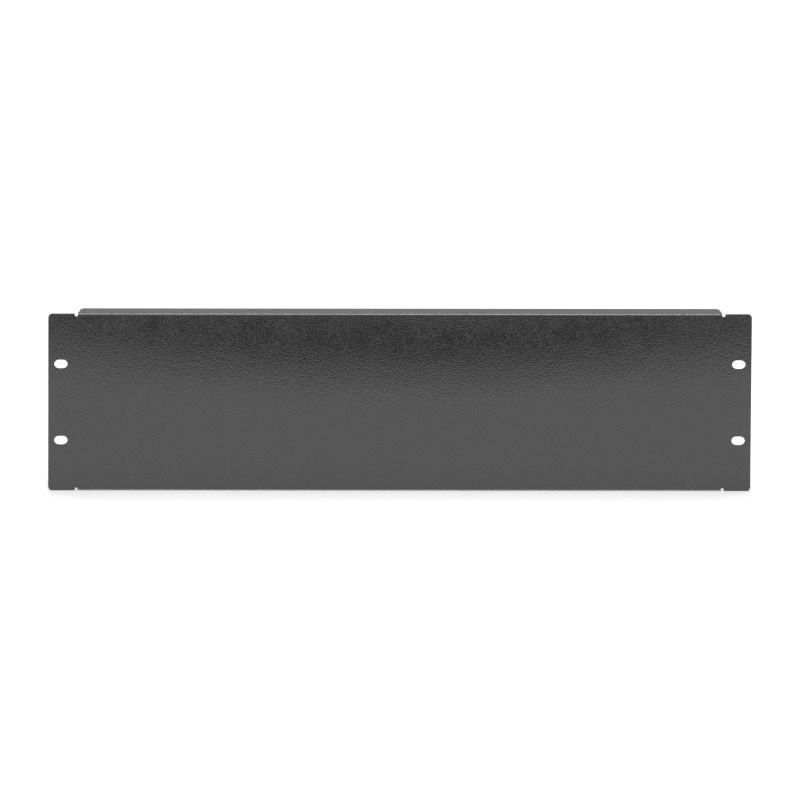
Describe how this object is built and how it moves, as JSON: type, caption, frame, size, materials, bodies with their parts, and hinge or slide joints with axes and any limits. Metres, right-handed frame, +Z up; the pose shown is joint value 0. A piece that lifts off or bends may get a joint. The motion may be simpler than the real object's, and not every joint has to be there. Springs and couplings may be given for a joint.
{
  "type": "rack blanking panel",
  "caption": "Folded sheet-steel blanking panel for a server rack, with top and bottom flanges, bend reliefs and slotted mounting ears, in a dark textured powder coat.",
  "frame": {"origin": "centre of the four rack slots, in the plane of the back of the ears, which is the plane that bolts to the rack's rails", "axes": "+X to the right as seen from the front, +Y back into the rack, +Z up; the painted face looks along -Y"},
  "size_m": [0.4826, 0.01, 0.1326],
  "materials": {
    "powder_coat": "fine-textured powder coat, semi-matt, near black grey"
  },
  "bodies": {
    "root": {"blanking_panel": "powder_coat"}
  },
  "joints": []
}
